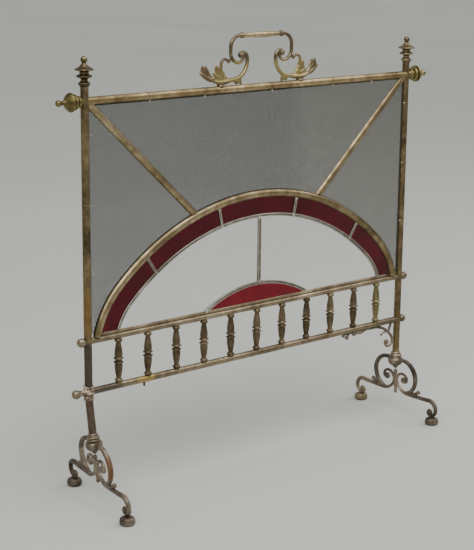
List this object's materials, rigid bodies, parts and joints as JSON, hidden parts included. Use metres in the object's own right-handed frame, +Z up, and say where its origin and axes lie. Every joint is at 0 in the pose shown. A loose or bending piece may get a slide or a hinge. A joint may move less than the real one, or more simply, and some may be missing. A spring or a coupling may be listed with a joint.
{
  "type": "fireplace screen",
  "caption": "Brass fireplace screen with an arched leaded ruby and clear glass panel, wire gauze corners, turned balusters, cast scroll feet and a scroll carrying handle.",
  "frame": {"origin": "middle of the overall box on the floor plane", "axes": "+X along the screen to its right seen from the front, +Y to the back (the fire side), +Z up; the front faces -Y"},
  "size_m": [0.8034, 0.2336, 0.7253],
  "materials": {
    "aged_brass": "satin, brown patina",
    "dark_bronze": "satin, dark patina",
    "worn_brass": "satin, handled",
    "lead_came": "dull oxidised lead",
    "ruby_glass": "gloss",
    "clear_glass": "gloss",
    "gauze_wire": "fine woven wire",
    "binding_wire": "bright",
    "solder": "dull soft solder"
  },
  "bodies": {
    "screen": {"left_post": "aged_brass", "left_leg": "dark_bronze", "right_post": "aged_brass", "top_rail": "worn_brass", "mid_rail": "aged_brass", "lower_rail": "aged_brass", "post_finial_left": "aged_brass", "post_finial_right": "aged_brass", "side_finial_left": "worn_brass", "side_finial_right": "worn_brass", "ball_mid_left": "aged_brass", "ball_mid_right": "aged_brass", "ball_low_left": "aged_brass", "ball_low_right": "aged_brass", "baluster_1": "dark_bronze", "baluster_2": "dark_bronze", "baluster_3": "dark_bronze", "baluster_4": "dark_bronze", "baluster_5": "dark_bronze", "baluster_6": "dark_bronze", "baluster_7": "dark_bronze", "baluster_8": "dark_bronze", "baluster_9": "dark_bronze", "baluster_10": "dark_bronze", "baluster_11": "worn_brass", "arch_moulding": "worn_brass", "arch_backing": "aged_brass", "diagonal_left": "worn_brass", "diagonal_right": "worn_brass", "gauze": "gauze_wire", "gauze_ties": "binding_wire", "ruby_glass_1": "ruby_glass", "ruby_glass_2": "ruby_glass", "ruby_glass_3": "ruby_glass", "ruby_glass_4": "ruby_glass", "ruby_glass_5": "ruby_glass", "sun_glass": "ruby_glass", "clear_glass_left": "clear_glass", "clear_glass_right": "clear_glass", "came_band": "lead_came", "came_cross": "lead_came", "came_centre": "lead_came", "came_sun": "lead_came", "came_base": "lead_came", "foot_left": "dark_bronze", "foot_right": "dark_bronze", "foot_collar_left": "aged_brass", "foot_collar_right": "aged_brass", "bun_left_front": "dark_bronze", "bun_left_rear": "dark_bronze", "bun_right_front": "dark_bronze", "bun_right_rear": "dark_bronze", "handle_mount_left": "dark_bronze", "handle_mount_right": "dark_bronze", "handle_rod": "binding_wire", "corner_bracket": "dark_bronze", "bracket_pin": "dark_bronze", "solder_repair": "solder"},
    "grip": {"grip": "worn_brass"}
  },
  "joints": [
    {"name": "grip_spin", "type": "hinge", "parent": "screen", "child": "grip", "pos_m": [0.003, 0.00956, 0.72], "axis": [1, 0, 0], "continuous": true}
  ]
}
